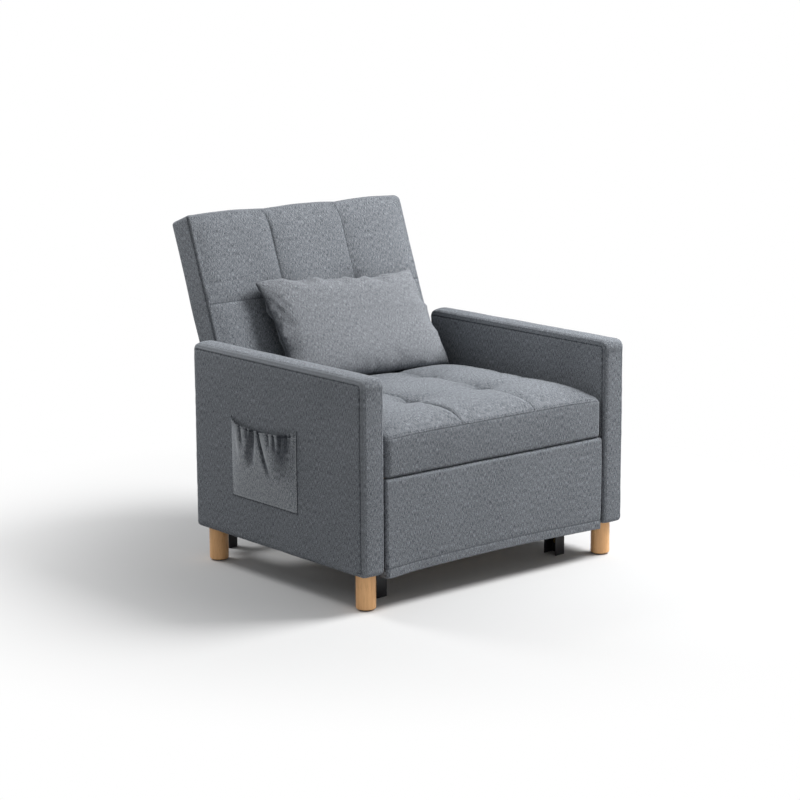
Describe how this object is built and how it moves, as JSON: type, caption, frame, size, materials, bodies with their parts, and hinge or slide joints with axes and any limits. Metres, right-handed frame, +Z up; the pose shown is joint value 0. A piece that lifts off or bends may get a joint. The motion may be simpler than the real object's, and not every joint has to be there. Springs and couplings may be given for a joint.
{
  "type": "convertible chair bed",
  "caption": "Upholstered armchair on round wooden legs with a tufted seat, a front unit that pulls out on steel feet, a reclining backrest, a side pocket and a loose pillow.",
  "frame": {"origin": "on the floor, under the middle of the chair's bounding box with the bed folded away", "axes": "+Z up, +X to the right as seen from the front, -Y towards the front of the chair"},
  "size_m": [0.8952, 0.8919, 0.8908],
  "materials": {
    "upholstery": "woven blue-grey melange linen-look cloth",
    "pillow_cloth": "woven lighter grey melange cloth",
    "lining": "woven blue-grey cloth over a board",
    "leg_wood": "clear-lacquered pale beech",
    "slat_wood": "plain birch plywood",
    "black_steel": "black powder coat",
    "zinc_steel": "zinc plated",
    "nylon": "black nylon"
  },
  "bodies": {
    "frame": {"arm_left": "upholstery", "arm_right": "upholstery", "side_pocket": "upholstery", "seat_cushion": "upholstery", "leg_front_left": "leg_wood", "leg_front_right": "leg_wood", "leg_rear_left": "leg_wood", "leg_rear_right": "leg_wood", "leg_glide_front_left": "nylon", "leg_glide_front_right": "nylon", "leg_glide_rear_left": "nylon", "leg_glide_rear_right": "nylon", "seat_slat_1": "slat_wood", "seat_slat_2": "slat_wood", "seat_slat_3": "slat_wood", "seat_slat_4": "slat_wood", "seat_slat_5": "slat_wood", "base_rail_left": "black_steel", "base_rail_right": "black_steel", "base_bar_front": "black_steel", "base_bar_rear": "black_steel", "rear_foot_left": "black_steel", "rear_foot_right": "black_steel", "slide_rail_left": "black_steel", "slide_rail_right": "black_steel", "seat_rail_left": "black_steel", "seat_rail_right": "black_steel", "hinge_plate_left": "zinc_steel", "hinge_plate_right": "zinc_steel", "hinge_pin_left": "zinc_steel", "hinge_pin_right": "zinc_steel"},
    "backrest": {"back_cushion": "upholstery", "back_panel": "lining", "back_upright_left": "black_steel", "back_upright_right": "black_steel", "back_bar_lower": "black_steel", "back_bar_upper": "black_steel", "hinge_arm_left": "zinc_steel", "hinge_arm_right": "zinc_steel", "throw_pillow": "pillow_cloth"},
    "pull_out": {"pull_out_rail_left": "black_steel", "pull_out_rail_right": "black_steel", "pull_out_bar_front": "black_steel", "pull_out_bar_rear": "black_steel", "pull_out_foot_left": "black_steel", "pull_out_foot_right": "black_steel", "glide_block_left": "nylon", "glide_block_right": "nylon", "bed_slat_1": "slat_wood", "bed_slat_2": "slat_wood", "bed_slat_3": "slat_wood", "bed_slat_4": "slat_wood", "bed_cushion": "upholstery", "front_board": "slat_wood", "front_skirt": "upholstery"}
  },
  "joints": [
    {"name": "backrest_recline", "type": "hinge", "parent": "frame", "child": "backrest", "pos_m": [0, 0.22107, 0.398], "axis": [-1, 0, 0], "range_deg": [0, 69.5]},
    {"name": "front_pull_out", "type": "slide", "parent": "frame", "child": "pull_out", "axis": [0, -1, 0], "range_m": [0, 0.55]}
  ]
}
